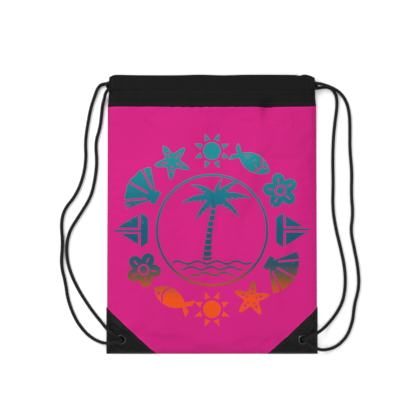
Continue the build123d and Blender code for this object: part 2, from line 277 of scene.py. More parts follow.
class Nodes:
    """A new procedural material and short ways to add nodes to it."""

    def __init__(self, name, color, roughness, metallic=0.0, specular=0.5, sheen=0.0):
        self.material = bpy.data.materials.new(name)
        self.material.use_nodes = True
        self.tree = self.material.node_tree
        self.shader = self.tree.nodes["Principled BSDF"]
        self.shader.inputs["Base Color"].default_value = (*color, 1)
        self.shader.inputs["Roughness"].default_value = roughness
        self.shader.inputs["Metallic"].default_value = metallic
        self.shader.inputs["Specular IOR Level"].default_value = specular
        self.shader.inputs["Sheen Weight"].default_value = sheen
        self.shader.inputs["Sheen Roughness"].default_value = 0.6
        self.place = self.add("ShaderNodeTexCoord").outputs["Object"]

    def add(self, kind, **settings):
        """Add a node and set its own properties."""
        node = self.tree.nodes.new(kind)
        for key, value in settings.items():
            setattr(node, key, value)
        return node

    def join(self, output, socket):
        """Link an output to a socket."""
        self.tree.links.new(output, socket)

    def axis(self, name):
        """Return how far along X, Y or Z a place lies."""
        split = self.add("ShaderNodeSeparateXYZ")
        self.join(self.place, split.inputs[0])
        return split.outputs[name]

    def noise(self, scale, detail=3.0, roughness=0.5):
        """Return the factor of a noise texture."""
        node = self.add("ShaderNodeTexNoise")
        node.inputs["Scale"].default_value = scale
        node.inputs["Detail"].default_value = detail
        node.inputs["Roughness"].default_value = roughness
        self.join(self.place, node.inputs["Vector"])
        return node.outputs["Fac"]

    def threads(self, direction, period):
        """Return bands of threads that repeat every period along X or Y."""
        node = self.add("ShaderNodeTexWave", bands_direction=direction)
        node.inputs["Scale"].default_value = 2 * math.pi / (20 * period)
        self.join(self.place, node.inputs["Vector"])
        return node.outputs["Fac"]

    def math(self, operation, first, second):
        """Combine two values; each may be an output or a number."""
        node = self.add("ShaderNodeMath", operation=operation)
        for socket, value in zip(node.inputs, (first, second)):
            if isinstance(value, float):
                socket.default_value = value
            else:
                self.join(value, socket)
        return node.outputs[0]

    def spread(self, value, low, high):
        """Map a 0 to 1 value onto low to high."""
        node = self.add("ShaderNodeMapRange")
        node.inputs["To Min"].default_value = low
        node.inputs["To Max"].default_value = high
        self.join(value, node.inputs["Value"])
        return node.outputs[0]

    def ramp(self, value, stops):
        """Return a colour ramp; stops are (position, (r, g, b))."""
        node = self.add("ShaderNodeValToRGB")
        elements = node.color_ramp.elements
        for extra in stops[2:]:
            elements.new(extra[0])
        for element, (position, color) in zip(elements, sorted(stops)):
            element.position = position
            element.color = (*color, 1)
        self.join(value, node.inputs["Fac"])
        return node.outputs["Color"]

    def tint(self, color, factor):
        """Multiply a colour by a value."""
        node = self.add("ShaderNodeVectorMath", operation="SCALE")
        if isinstance(color, tuple):
            node.inputs[0].default_value = color
        else:
            self.join(color, node.inputs[0])
        self.join(factor, node.inputs["Scale"])
        self.join(node.outputs[0], self.shader.inputs["Base Color"])

    def bump(self, height, distance, strength=1.0):
        """Drive the shader's normal from a height."""
        node = self.add("ShaderNodeBump")
        node.inputs["Distance"].default_value = distance
        node.inputs["Strength"].default_value = strength
        self.join(height, node.inputs["Height"])
        self.join(node.outputs[0], self.shader.inputs["Normal"])

    def vary_roughness(self, value, low, high):
        """Let the roughness follow a value."""
        self.join(self.spread(value, low, high), self.shader.inputs["Roughness"])


def weave(nodes, period):
    """Return the height of a plain weave whose threads cross every period."""
    across = nodes.threads("X", period)
    along = nodes.threads("Y", period)
    return nodes.math("MAXIMUM", across, along)


def painted_seam_highlight(nodes):
    """Return where the painted highlight goes: 1 along the collar's seam and the corner patches' folds, and
    0 further off.
    """
    across = nodes.math("ABSOLUTE", nodes.axis("X"), 0.0)
    upward = nodes.axis("Y")
    corner = nodes.math(
        "ADD",
        nodes.math("MULTIPLY", across, FOLD_NORMAL[0]),
        nodes.math("MULTIPLY", upward, FOLD_NORMAL[1]),
    )
    edges = []
    for place, edge in ((corner, FOLD_AWAY), (upward, SEAM_Y)):
        near = nodes.add("ShaderNodeMapRange", interpolation_type="SMOOTHSTEP")
        near.inputs["From Min"].default_value = edge - SEAM_HIGHLIGHT_WIDTH
        near.inputs["From Max"].default_value = edge - SEAM_HIGHLIGHT_WIDTH / 3
        nodes.join(place, near.inputs["Value"])
        edges.append(near.outputs[0])
    return nodes.math("MAXIMUM", *edges)


def cloth_material(name, color, specular, period, variation=0.06, seam_highlight=False):
    """Woven polyester: a plain weave, slubs in the thread and soft blotches of colour, and optionally a
    painted highlight along the seams.
    """
    nodes = Nodes(name, color, 0.85, specular=specular)
    threads = weave(nodes, period)
    blotch = nodes.spread(nodes.noise(9.0, 2.0), 1 - variation, 1 + variation)
    slub = nodes.spread(nodes.noise(900.0, 2.0), 0.93, 1.07)
    shade = nodes.math("MULTIPLY", nodes.math("MULTIPLY", blotch, slub), nodes.spread(threads, 0.9, 1.04))
    if seam_highlight:
        # painted highlight: the cloth is made up to 24% paler beside the collar's seam and the patches'
        # folds
        shade = nodes.math("MULTIPLY", shade, nodes.spread(painted_seam_highlight(nodes), 1.0, 1.24))
    nodes.tint(color, shade)
    nodes.bump(nodes.math("ADD", threads, nodes.noise(1200.0)), 0.12 * MM, 0.6)
    nodes.vary_roughness(nodes.noise(300.0), 0.75, 0.95)
    return nodes.material


def print_material():
    """Dye on the woven front: the badge's colour runs from orange at its foot to teal at its head."""
    nodes = Nodes("badge_dye", (0.01, 0.16, 0.2), 0.8, specular=0.12)
    height = nodes.add("ShaderNodeMapRange")
    height.inputs["From Min"].default_value = -0.2
    height.inputs["From Max"].default_value = 0.17
    nodes.join(nodes.axis("Y"), height.inputs["Value"])
    colors = nodes.ramp(
        height.outputs[0],
        [
            (0.162, (0.64, 0.0608, 0.0056)),
            (0.203, (0.408, 0.064, 0.0104)),
            (0.257, (0.124, 0.072, 0.0256)),
            (0.311, (0.0168, 0.064, 0.092)),
            (0.47, (0.0032, 0.0784, 0.1368)),
            (0.66, (0.0072, 0.1448, 0.1936)),
            (0.78, (0.0088, 0.2016, 0.2296)),
            (1.0, (0.0096, 0.2128, 0.2368)),
        ],
    )
    threads = weave(nodes, 0.55 * MM)
    wear = nodes.spread(nodes.noise(700.0, 2.0), 0.88, 1.1)
    nodes.tint(colors, nodes.math("MULTIPLY", wear, nodes.spread(threads, 0.9, 1.04)))
    nodes.bump(threads, 0.1 * MM, 0.5)
    return nodes.material


def leatherette_material():
    """Coated black sheet: fine pebbled grain, a little gloss, paler where it is rubbed."""
    black = (0.0042, 0.0042, 0.0044)
    nodes = Nodes("patch_leatherette", black, 0.5, specular=0.11)
    grain = nodes.add("ShaderNodeTexVoronoi", feature="SMOOTH_F1")
    grain.inputs["Scale"].default_value = 1100.0
    nodes.join(nodes.place, grain.inputs["Vector"])
    rub = nodes.spread(nodes.noise(60.0, 4.0), 0.7, 1.5)
    nodes.tint(black, rub)
    nodes.bump(nodes.math("ADD", grain.outputs["Distance"], nodes.noise(400.0)), 0.15 * MM, 0.7)
    nodes.vary_roughness(nodes.noise(150.0), 0.38, 0.6)
    return nodes.material


def metal_material():
    """Gunmetal plating with fine scratches and patchy tone."""
    gunmetal = (0.042, 0.042, 0.044)
    nodes = Nodes("eyelet_gunmetal", gunmetal, 0.3, metallic=1.0)
    nodes.tint(gunmetal, nodes.spread(nodes.noise(500.0), 0.7, 1.25))
    nodes.bump(nodes.noise(2500.0, 2.0), 0.03 * MM, 0.4)
    nodes.vary_roughness(nodes.noise(900.0), 0.14, 0.26)
    return nodes.material


def cord_material():
    """Twisted black polyester: filaments run along each ply as streaks of tone and bump."""
    black = (0.0068, 0.0068, 0.0072)
    nodes = Nodes("cord_braid", black, 0.7, specular=0.16)
    lay = nodes.add("ShaderNodeAttribute", attribute_name="lay")
    filament = nodes.add("ShaderNodeTexNoise")
    filament.inputs["Scale"].default_value = 1.0
    filament.inputs["Detail"].default_value = 2.0
    nodes.join(lay.outputs["Vector"], filament.inputs["Vector"])
    nodes.tint(black, nodes.spread(filament.outputs["Fac"], 0.55, 1.6))
    nodes.bump(filament.outputs["Fac"], 0.25 * MM, 0.8)
    nodes.vary_roughness(nodes.noise(400.0), 0.6, 0.8)
    return nodes.material


def thread_material(name, color):
    """Sewing thread: two plies twisted together."""
    nodes = Nodes(name, color, 0.6, specular=0.3)
    nodes.tint(color, nodes.spread(nodes.noise(2500.0, 1.0), 0.7, 1.4))
    nodes.bump(nodes.noise(3500.0, 1.0), 0.05 * MM, 0.6)
    return nodes.material


# the front's magenta carries the painted highlight along its seams and folds
MAGENTA = cloth_material("magenta_cloth", (0.487, 0.0117, 0.167), 0.096, 0.55 * MM, seam_highlight=True)
# painted shade: the back panel is the front's magenta made about 6% darker
MAGENTA_BACK = cloth_material("magenta_back_cloth", (0.46, 0.011, 0.157), 0.096, 0.55 * MM)
BLACK_CLOTH = cloth_material("black_cloth", (0.007, 0.007, 0.0072), 0.08, 0.7 * MM, 0.15)
DYE = print_material()
LEATHERETTE = leatherette_material()
GUNMETAL = metal_material()
CORD = cord_material()
BLACK_THREAD = thread_material("black_thread", (0.012, 0.012, 0.0125))

# ---------------------------------------------------------------- cords

def route_line(route):
    """Return evenly spaced points along the smooth NURBS line that a route's points control."""
    curve = bpy.data.curves.new("route", "CURVE")
    curve.dimensions = "3D"
    curve.resolution_u = 24
    spline = curve.splines.new("NURBS")
    spline.points.add(len(route) - 1)
    for point, place in zip(spline.points, route):
        point.co = (*place, 1)
    spline.order_u = 3
    spline.use_endpoint_u = True
    holder = bpy.data.objects.new("route", curve)
    bpy.context.collection.objects.link(holder)
    bpy.context.view_layer.update()
    mesh = bpy.data.meshes.new_from_object(holder)
    line = np.array([vertex.co[:] for vertex in mesh.vertices])
    bpy.data.objects.remove(holder)
    bpy.data.curves.remove(curve)
    bpy.data.meshes.remove(mesh)
    length = lengths_along(line)[-1]
    count = max(round(length / CORD_RING_STEP), 2)
    return points_along(line, np.linspace(0, length, count + 1))


def ring_axes(line):
    """Return, for each point of a line, two axes across it that never spin about it."""
    forward = np.gradient(line, axis=0)
    forward /= np.linalg.norm(forward, axis=1)[:, None]
    side = np.cross(forward[0], (0, 0, 1))
    if np.linalg.norm(side) < 0.1:
        side = np.cross(forward[0], (0, 1, 0))
    first, second = [], []
    for direction in forward:
        side = side - direction * side.dot(direction)
        side /= np.linalg.norm(side)
        first.append(side)
        second.append(np.cross(direction, side))
    return np.array(first), np.array(second)


def ply_radius(angle, radius):
    """Return the outline of three round plies lying together, at an angle round the cord."""
    ply = radius / (1 + 2 / math.sqrt(3))
    offset = radius - ply
    turn = (angle + math.pi / 3) % (2 * math.pi / 3) - math.pi / 3
    reach = offset * math.sin(turn)
    outline = offset * math.cos(turn) + math.sqrt(max(ply**2 - reach**2, 0))
    return max(outline, PLY_GROOVE * radius)


def rope(name, line, radius=STRAND_RADIUS, first=0, last=None):
    """Make a twisted cord along rings first to last of a line, and return it with those points."""
    last = len(line) - 1 if last is None else last
    across, up = ring_axes(line)
    along = lengths_along(line)
    points, lay = [], []
    for ring in range(first, last + 1):
        spin = 2 * math.pi * along[ring] / CORD_TWIST_PITCH
        for corner in range(CORD_SIDES):
            angle = 2 * math.pi * corner / CORD_SIDES
            around = angle - spin
            out = ply_radius(around, radius)
            point = line[ring] + out * (math.cos(angle) * across[ring] + math.sin(angle) * up[ring])
            points.append((point[0], point[1], max(point[2], ON_FLOOR)))
            lay.append((6 * math.cos(around), 6 * math.sin(around), along[ring] / (6 * MM)))
    piece = new_piece(name, points, tube_faces(last - first + 1, CORD_SIDES), CORD)
    attribute = piece.data.attributes.new("lay", "FLOAT_VECTOR", "POINT")
    attribute.data.foreach_set("vector", np.array(lay, np.float32).ravel())
    return piece, line[first:last + 1]


def ring_after(line, distance):
    """Return the ring that lies a distance along a line."""
    return int(np.searchsorted(lengths_along(line), distance))


def front_strand(node, route):
    """Make a strand that leaves the front casing, in two pieces: the stretch by the mouth and the free
    rest.
    """
    line = route_line(route)
    split = ring_after(line, LIFT_NONE)
    near, near_path = rope(f"{node}_by_the_mouth", line, last=split)
    far, far_path = rope(f"{node}_free", line, first=split)
    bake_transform(near)
    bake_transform(far)
    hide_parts(node)


def back_strand(node, route):
    """Make a strand that leaves the back casing."""
    line = route_line(route)
    strand, path = rope(node + "_free", line)
    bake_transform(strand)
    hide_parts(node)


def held_cord(side, side_name, front_y, back_y):
    """Make a cord's two runs through the casings, and its turn round the far end of the mouth."""
    near_x = side * STRAND_X
    turn_x = -side * TURN_X
    tip_x = -side * (TURN_X + TURN_RADIUS)
    route = [
        (near_x, front_y, FRONT_LANE_Z),
        (0, front_y, FRONT_LANE_Z),
        (turn_x, front_y, FRONT_LANE_Z),
        (tip_x, front_y, FRONT_LANE_Z),
        (tip_x, back_y, BACK_LANE_Z),
        (turn_x, back_y, BACK_LANE_Z),
        (0, back_y, BACK_LANE_Z),
        (near_x, back_y, BACK_LANE_Z),
    ]
    line = route_line(route)
    outside = np.nonzero(np.abs(line[:, 0]) > TURN_X)[0]
    front_end, back_end = outside[0], outside[-1]
    front_run, _ = rope(f"{side_name}_run_in_front_casing", line, HELD_RADIUS, last=front_end)
    turn, _ = rope(f"{side_name}_turn_round_mouth", line, HELD_RADIUS, front_end, back_end)
    back_run, _ = rope(f"{side_name}_run_in_back_casing", line, HELD_RADIUS, back_end)
    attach(front_run, f"{side_name}_cord_front")
    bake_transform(turn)
    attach(back_run, f"{side_name}_cord")
    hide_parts(f"{side_name}_cord_front_run")
    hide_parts(f"{side_name}_cord_turn")
    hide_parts(f"{side_name}_cord_back_run")


# ---------------------------------------------------------------- the bag's front surface

def half_width(y):
    """Return the distance from the bag's middle to its side seam at a height."""
    share = (y - BOTTOM_Y) / (SEAM_Y - BOTTOM_Y)
    return HALF_WIDTH_BOTTOM + (HALF_WIDTH_TOP - HALF_WIDTH_BOTTOM) * share


def crease(x, y, start, end, width, depth):
    """Return a soft valley along a line, deepest at its start."""
    run = np.array(end) - np.array(start)
    share = ((x - start[0]) * run[0] + (y - start[1]) * run[1]) / run.dot(run)
    inside = np.clip(share, 0, 1)
    away = np.hypot(x - start[0] - inside * run[0], y - start[1] - inside * run[1])
    return -depth * (1 - 0.8 * inside) * np.exp(-(away / width) ** 2)


def seam_puckers(x, y, to_side, to_bottom):
    """Return the ripples that the sewing draws up beside the side, bottom and collar seams."""
    to_collar = np.maximum(SEAM_Y - y, 0)
    pucker = 0
    for distance, reach, place, wave, drift, drift_wave in (
        (to_side, 9 * MM, y, 2.6 * MM, 3, 40 * MM),
        (to_bottom, 9 * MM, x, 2.6 * MM, 3, 40 * MM),
        (to_collar, 7 * MM, x, 2.9 * MM, 4, 50 * MM),
    ):
        wander = drift * np.sin(place / drift_wave)
        pucker = pucker + np.exp(-distance / reach) * np.sin(place / wave + wander)
    return PUCKER * pucker * rise(to_side, 3 * MM) * rise(to_bottom, 3 * MM)


def front_height(x, y):
    """Return the height of the front cloth's upper face: a slack pillow that opens to the mouth."""
    to_side = half_width(y) - np.abs(x)
    to_bottom = y - BOTTOM_Y
    pillow = EDGE_RISE * rise(to_side, EDGE_REACH) * rise(to_bottom, EDGE_REACH)
    pillow += CROWN * rise(to_side, CROWN_REACH) * rise(to_bottom, CROWN_REACH)
    mouth = MOUTH_RISE * rise(to_side, MOUTH_REACH) + MOUTH_CROWN * rise(to_side, MOUTH_CROWN_REACH)
    height = pillow + (mouth - pillow) * smoothstep(y, MOUTH_FROM_Y, SEAM_Y)
    slack = rise(to_side, SLACK_REACH) * rise(to_bottom, SLACK_REACH)
    slack *= 1 - smoothstep(y, SEAM_Y - 30 * MM, SEAM_Y)
    for depth, across, along, phase in RIPPLES:
        height += slack * depth * np.sin(x / across + y / along + phase)
    for valley in CREASES:
        height += crease(x, y, *valley)
    height += seam_puckers(x, y, to_side, to_bottom)
    for side in (-1, 1):
        away = np.hypot(x - side * EYELET_X, y - EYELET_Y)
        flat = 1 - smoothstep(away, 10 * MM, 20 * MM)
        height += (EYELET_BED_Z - RIM_Z - height) * flat
    rim = RIM_DROP * np.exp(-np.minimum(to_side, to_bottom) / (0.8 * MM))
    return RIM_Z + height - rim


def spaced(low, high, step):
    """Return evenly spaced places from low to high, about a step apart."""
    return np.linspace(low, high, max(round((high - low) / step), 1) + 1)


def sheet_mesh(name, columns, rows, place, material, flip=False):
    """Make a sheet from a grid of columns and rows; place turns their values into x, y and z."""
    column_grid, row_grid = np.meshgrid(columns, rows)
    x, y, z = place(column_grid, row_grid)
    points = np.stack([x.ravel(), y.ravel(), z.ravel()], axis=1)
    width = len(columns)
    faces = []
    for row in range(len(rows) - 1):
        for column in range(width - 1):
            corner = row * width + column
            face = (corner, corner + 1, corner + width + 1, corner + width)
            faces.append(face[::-1] if flip else face)
    return new_piece(name, points, faces, material)


def thicken(piece, thickness):
    """Give a sheet its thickness, away from the side that its faces look to."""
    solidify = piece.modifiers.new("thickness", "SOLIDIFY")
    solidify.thickness = thickness
    solidify.offset = -1
    solidify.use_even_offset = True
    solidify.thickness_clamp = 1
    bpy.context.view_layer.update()
    graph = bpy.context.evaluated_depsgraph_get()
    thick = bpy.data.meshes.new_from_object(piece.evaluated_get(graph), depsgraph=graph)
    piece.modifiers.clear()
    piece.data = thick


def cut_holes(piece, centres, radius):
    """Remove the faces of a sheet whose middles are within a radius of any centre."""
    mesh = bmesh.new()
    mesh.from_mesh(piece.data)
    lost = []
    for face in mesh.faces:
        middle = face.calc_center_median()
        if any((middle.xy - Vector(centre)).length < radius for centre in centres):
            lost.append(face)
    bmesh.ops.delete(mesh, geom=lost, context="FACES")
    mesh.to_mesh(piece.data)
    mesh.free()


def settle(piece, held, growth, reach):
    """Simulate slack cloth that is held at some points, and let no point move further than reach."""
    before = np.empty(len(piece.data.vertices) * 3)
    piece.data.vertices.foreach_get("co", before)
    group = piece.vertex_groups.new(name="held")
    group.add([int(index) for index in np.nonzero(held)[0]], 1.0, "REPLACE")
    cloth = piece.modifiers.new("cloth", "CLOTH")
    cloth.settings.quality = 5
    cloth.settings.mass = 0.15
    cloth.settings.tension_stiffness = 15
    cloth.settings.compression_stiffness = 15
    cloth.settings.shear_stiffness = 5
    cloth.settings.bending_stiffness = 0.05
    cloth.settings.shrink_min = -growth
    cloth.settings.use_pressure = True
    cloth.settings.uniform_pressure_force = 0.2
    cloth.settings.vertex_group_mass = "held"
    cloth.settings.effector_weights.gravity = 0
    cloth.collision_settings.use_collision = False
    scene = bpy.context.scene
    for step in range(1, SETTLE_STEPS + 1):
        scene.frame_set(step)
    graph = bpy.context.evaluated_depsgraph_get()
    after = np.empty_like(before)
    piece.evaluated_get(graph).data.vertices.foreach_get("co", after)
    piece.modifiers.remove(cloth)
    piece.vertex_groups.clear()
    scene.frame_set(1)
    move = (after - before).reshape(-1, 3)
    size = np.linalg.norm(move, axis=1)[:, None]
    capped = move * reach * np.tanh(size / reach) / np.maximum(size, 1e-9)
    piece.data.vertices.foreach_set("co", before + capped.ravel())
    piece.data.update()


def surface_tree(piece):
    """Return a search tree of a piece's faces."""
    vertices = [vertex.co.copy() for vertex in piece.data.vertices]
    return BVHTree.FromPolygons(vertices, [tuple(face.vertices) for face in piece.data.polygons])


def height_on(tree, x, y, fallback=RIM_Z):
    """Return how high a surface stands above a place."""
    found = tree.ray_cast(Vector((x, y, 1)), Vector((0, 0, -1)))[0]
    return found.z if found else fallback


def make_front_cloth():
    """Make the printed panel; its slack settles between the seams that hold it."""
    top = SEAM_Y + 4 * MM
    beside_seam = 1 - NEAR_RIM / HALF_WIDTH_TOP
    columns = np.unique(np.concatenate([spaced(-1, 1, GRID / HALF_WIDTH_TOP), beside_seam, -beside_seam]))
    rows = np.unique(np.concatenate([spaced(BOTTOM_Y, top, GRID), BOTTOM_Y + NEAR_RIM]))

    def place(column, y):
        x = column * half_width(y)
        return x, y, front_height(x, y)

    cloth = sheet_mesh("front_cloth", columns, rows, place, MAGENTA)
    places = np.array([vertex.co[:] for vertex in cloth.data.vertices])
    x, y = places[:, 0], places[:, 1]
    to_eyelet = np.min([np.hypot(x - cx, y - cy) for cx, cy in EYELETS], axis=0)
    held = (half_width(y) - np.abs(x) < 3 * MM) | (y - BOTTOM_Y < 3 * MM)
    held |= (y > SEAM_Y - 3 * MM) | (to_eyelet < 14 * MM)
    settle(cloth, held, growth=0.012, reach=2.2 * MM)
    tree = surface_tree(cloth)
    cut_holes(cloth, EYELETS, CLOTH_CUT)
    thicken(cloth, CLOTH)
    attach(cloth, "bag")
    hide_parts("front_panel")
    return tree


def make_back_cloth():
    """Make the plain panel that the bag lies on."""
    top = SEAM_Y + 4 * MM
    columns = np.linspace(-1, 1, 71)
    rows = spaced(BOTTOM_Y, top, 5 * MM)

    def place(column, y):
        x = column * half_width(y)
        return x, y, np.full_like(x, 0.25 * MM)

    cloth = sheet_mesh("back_cloth", columns, rows, place, MAGENTA_BACK, flip=True)
    thicken(cloth, 0.65 * MM)
    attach(cloth, "bag")
    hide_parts("back_panel")


# ---------------------------------------------------------------- collar

def collar_half_width(y):
    """Return half the collar's width, which narrows from the seam and again at the casing."""
    seam_half = HALF_WIDTH_TOP - 0.5 * MM
    casing_half = CASING_HALF + 2.2 * MM
    narrowing = SEAM_TAPER * smoothstep(y, SEAM_Y, FOLD_Y - 6 * MM)
    narrowing += (seam_half - SEAM_TAPER - casing_half) * smoothstep(y, FOLD_Y - 1 * MM, FOLD_Y + 3 * MM)
    return seam_half - narrowing - MOUTH_TAPER * smoothstep(y, MOUTH_Y - 12 * MM, MOUTH_Y)


def rim_sag(x, y):
    """Return how far the rim falls back: it rounds off at its ends and wanders along its length."""
    to_end = np.maximum(CASING_HALF + 1.0 * MM - np.abs(x), 0)
    sag = RIM_ROUNDING * np.exp(-((to_end / (5 * MM)) ** 1.5))
    sag += RIM_WANDER * (2.6 + np.sin(x / (19 * MM) + 1.1 * np.sin(x / (31 * MM))))
    for place, reach, depth in RIM_DENTS:
        sag += depth * np.exp(-(((x - place) / reach) ** 2))
    return sag * smoothstep(y, FOLD_Y, MOUTH_Y)


def seam_wander(x, y):
    """Return how far the collar's lower edge strays: it climbs towards the bag's sides."""
    climb = 0.8 * MM * ((x / (140 * MM)) ** 2 - 1.2) + 0.9 * MM * smoothstep(x, 160 * MM, 174 * MM)
    climb += 0.3 * MM * np.sin(x / (24 * MM)) + 0.15 * MM * np.sin(x / (9 * MM))
    return climb * (1 - smoothstep(y, SEAM_Y, SEAM_Y + 4 * MM))


def gathers(x, y):
    """Return the soft upright ripples of the collar, strongest towards its ends."""
    ends = 0.35 + 0.65 * smoothstep(np.abs(x), 70 * MM, 150 * MM)
    ripple = np.sin(x / (4.3 * MM) + 2.2 * np.sin(x / (27 * MM)))
    ripple += 0.8 * np.sin(x / (7.9 * MM) + y / (14 * MM))
    fade = smoothstep(y, SEAM_Y, SEAM_Y + 10 * MM) * rise(BAND_HALF - np.abs(x), 4 * MM)
    return GATHER * ends * ripple * fade


def tunnel_profile(low_z, high_z):
    """Return a casing's section as (y, z, share of its fold's height) from its stitches round to them."""
    radius = (high_z - low_z) / 2
    middle_z = (high_z + low_z) / 2

    def flat_side(z):
        side = []
        for y in spaced(FOLD_Y + 0.6 * MM, MOUTH_Y - radius, 1.5 * MM):
            open_share = math.sin(min((y - FOLD_Y) / CASING_OPENS, 1) * math.pi / 2)
            side.append((y, z, 1 - open_share))
        return side

    fold = []
    for step in range(1, 12):
        angle = math.pi / 2 - math.pi * step / 12
        y = MOUTH_Y - radius + radius * math.cos(angle)
        fold.append((y, middle_z + radius * math.sin(angle), 0.0))
    return flat_side(high_z) + fold + flat_side(low_z)[::-1]


def hinge_with_casing(piece):
    """Bake a piece's transform into its mesh; it does not bend along the casing's stitches."""
    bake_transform(piece)


def make_collar(name, opens, nodes, band_z, low_z, high_z, flip):
    """Make a collar: a band above the panel's seam, and a casing folded over along the mouth."""
    band_rows = spaced(SEAM_Y - 0.8 * MM, FOLD_Y, 1.5 * MM)
    section = tunnel_profile(low_z, high_z)
    if flip:
        section = [(y, low_z + high_z - z, share) for y, z, share in section]
    columns = spaced(-1, 1, GRID / CASING_HALF)
    rows = np.arange(len(band_rows) + len(section))
    middle_z = (low_z + high_z) / 2
    row_y = np.concatenate([band_rows, [y for y, _, _ in section]])

    def place(column, row):
        y = row_y[row.astype(int)]
        x = column * collar_half_width(y)
        y = y + seam_wander(x, y) - rim_sag(x, y)
        z = np.empty_like(x)
        split = len(band_rows)
        z[:split] = band_z(x[:split], y[:split])
        fold = band_z(x[split - 1], np.full(len(columns), FOLD_Y))
        for index, (_, section_z, share) in enumerate(section):
            z[split + index] = section_z + (fold - section_z) * share
        if opens:
            upper = z[split:] > middle_z
            z[split:] += np.where(upper, gathers(x[split:], y[split:]), 0)
        return x, y, z

    collar = sheet_mesh(name, columns, rows, place, BLACK_CLOTH, flip=flip)
    thicken(collar, CLOTH)
    if opens:
        hinge_with_casing(collar)
    else:
        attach(collar, "bag")
    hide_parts(*nodes)
    return collar


def front_band_height(x, y):
    """Return the height of the front band, which dips into the groove of the casing's stitches."""
    x = x * (HALF_WIDTH_TOP - 0.6 * MM) / collar_half_width(y)
    dip = 0.8 * MM * np.exp(-((y - FOLD_Y) / (6 * MM)) ** 2) * rise(half_width(y) - np.abs(x), 12 * MM)
    lip = 0.5 * MM * rise(y - SEAM_Y + 0.8 * MM, 0.5 * MM)
    return front_height(x, np.minimum(y, FOLD_Y)) + lip - dip + gathers(x, y)


def back_band_height(x, y):
    """Return the height of the back band's lower face."""
    return np.full_like(x, 0.1 * MM)


def make_collars():
    """Make the front and back collars."""
    make_collar(
        "front_collar", True, ("front_band", "front_casing"), front_band_height,
        CASING_LOW[2] + 0.4 * MM, CASING_HIGH[2], flip=False,
    )
    make_collar(
        "back_collar", False, ("back_band", "back_casing"), back_band_height,
        0.1 * MM, BACK_CASING_HIGH[2] - 0.4 * MM, flip=True,
    )


# ---------------------------------------------------------------- corner patches

def patch_point(side, along, inward):
    """Return a place on a patch: a share along from its foot to its top, a share in to its corner."""
    corner = np.array([side * (HALF_WIDTH_BOTTOM + PATCH_PROUD), BOTTOM_Y])
    foot = corner - np.array([side * PATCH_RUN, 0])
    top = corner + np.array([0, PATCH_RISE])
    on_fold = foot + (top - foot) * along
    return on_fold + (corner - on_fold) * inward


def patch_grid(side, normal):
    """Return the flat points and faces of a patch; its folded edge wanders a little."""
    cells = 44
    points, faces = [], []
    index = {}
    for row in range(cells + 1):
        for column in range(cells + 1 - row):
            index[row, column] = len(points)
            x = side * (HALF_WIDTH_BOTTOM + PATCH_PROUD - PATCH_RUN * column / cells)
            y = BOTTOM_Y + PATCH_RISE * row / cells
            near_fold = 1 - (row + column) / cells
            wave = math.sin(x / (5.5 * MM)) + 0.6 * math.sin(x / (3.1 * MM) + 1)
            wander = 0.2 * MM * wave * (1 - smoothstep(near_fold, 0, 0.1))
            points.append(np.array([x, y]) + wander * normal)
    for row in range(cells):
        for column in range(cells - row):
            faces.append([index[row, column], index[row, column + 1], index[row + 1, column]])
            if column < cells - row - 1:
                faces.append([index[row, column + 1], index[row + 1, column + 1], index[row + 1, column]])
    return points, faces


def patch_height(side, x, y, front_tree):
    """Return the height of a patch's upper face, which turns down at the bag's edges."""
    inner_x = side * min(abs(x), half_width(y) - 0.3 * MM)
    inner_y = max(y, BOTTOM_Y + 0.3 * MM)
    to_edge = min(HALF_WIDTH_BOTTOM + PATCH_PROUD - abs(x), y - BOTTOM_Y)
    turned_down = 0.7 * MM * math.exp(-abs(to_edge) / (1.2 * MM))
    return height_on(front_tree, inner_x, inner_y) + PATCH_LIFT - turned_down


def sew_patch(side, side_name, normal, surface):
    """Sew two rows beside a patch's fold and one along the bag's edges."""
    for number, inset in enumerate((2.0 * MM, 5.0 * MM)):
        start = patch_point(side, 0.0, 0) - inset * normal
        end = patch_point(side, 1.0, 0) - inset * normal
        run = (end - start) / np.linalg.norm(end - start)
        start, end = start + run * 3 * inset, end - run * 3 * inset
        seam = [start + (end - start) * share for share in np.linspace(0, 1, 240)]
        points = [(x, y, height_on(surface, x, y)) for x, y in seam]
        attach(stitches(f"{side_name}_patch_fold_stitches_{number + 1}", points), "bag")
    outer_x = side * (HALF_WIDTH_BOTTOM + PATCH_PROUD)
    side_x = outer_x - side * 3.0 * MM
    low_y = BOTTOM_Y + 3.0 * MM
    outline = [(side_x, y) for y in np.linspace(BOTTOM_Y + PATCH_RISE - 6 * MM, low_y, 160)]
    outline += [(x, low_y) for x in np.linspace(side_x, outer_x - side * (PATCH_RUN - 6 * MM), 160)]
    points = [(x, y, height_on(surface, x, y)) for x, y in outline]
    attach(stitches(f"{side_name}_patch_edge_stitches", points), "bag")


def make_patch(side, side_name, front_tree):
    """Make the front and back faces of a corner patch, and the stitches that hold the front."""
    normal = np.array([-side * PATCH_RISE, PATCH_RUN]) / FOLD_LENGTH
    flat_points, faces = patch_grid(side, normal)
    front_points = [(x, y, patch_height(side, x, y, front_tree)) for x, y in flat_points]
    front = new_piece(f"{side_name}_front_patch_sheet", front_points, faces, LEATHERETTE)
    make_faces_look_up(front)
    cut_holes(front, EYELETS, PATCH_CUT)
    thicken(front, PATCH_SHEET)
    back_points = [(x, y, 0.05 * MM) for x, y in flat_points]
    back = new_piece(f"{side_name}_back_patch_sheet", back_points, faces, LEATHERETTE)
    make_faces_look_up(back)
    back.data.flip_normals()
    thicken(back, PATCH_SHEET)
    for piece, face in ((front, "front"), (back, "back")):
        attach(piece, "bag")
        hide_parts(f"{face}_{side_name}_patch")
    sew_patch(side, side_name, normal, surface_tree(front))


def make_faces_look_up(piece):
    """Turn a sheet's faces so that they look upwards."""
    mesh = bmesh.new()
    mesh.from_mesh(piece.data)
    down = [face for face in mesh.faces if face.normal.z < 0]
    bmesh.ops.reverse_faces(mesh, faces=down)
    mesh.to_mesh(piece.data)
    mesh.free()


# ---------------------------------------------------------------- stitches

